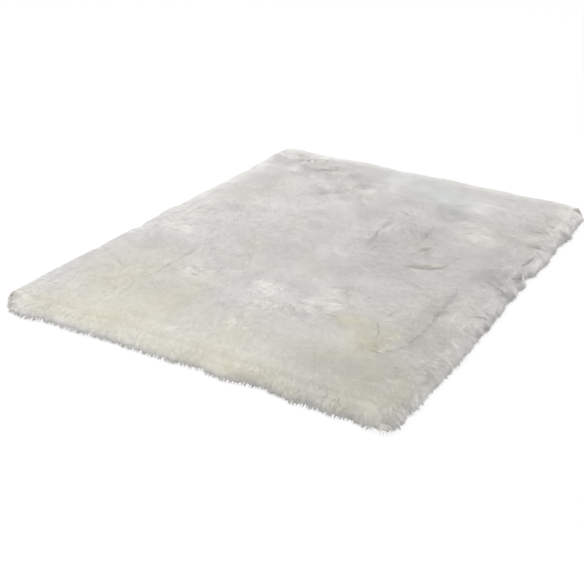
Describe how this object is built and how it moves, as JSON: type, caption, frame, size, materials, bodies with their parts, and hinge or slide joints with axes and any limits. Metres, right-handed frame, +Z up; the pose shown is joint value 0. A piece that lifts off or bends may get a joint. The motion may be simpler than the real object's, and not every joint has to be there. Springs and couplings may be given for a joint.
{
  "type": "long-pile faux fur shag rug",
  "caption": "Rectangular one-piece rug of white long-pile faux fur with rounded corners, laid flat on the floor, its pile hanging past the cut edge.",
  "frame": {"origin": "middle of the underside, on the floor", "axes": "+Z up, away from the floor; +Y along the rug's long way; +X across it"},
  "size_m": [1.2566, 1.6826, 0.052],
  "materials": {
    "fur": "long soft white pile with a slight silky sheen, cream at the roots"
  },
  "bodies": {
    "root": {"rug": "fur"}
  },
  "joints": []
}
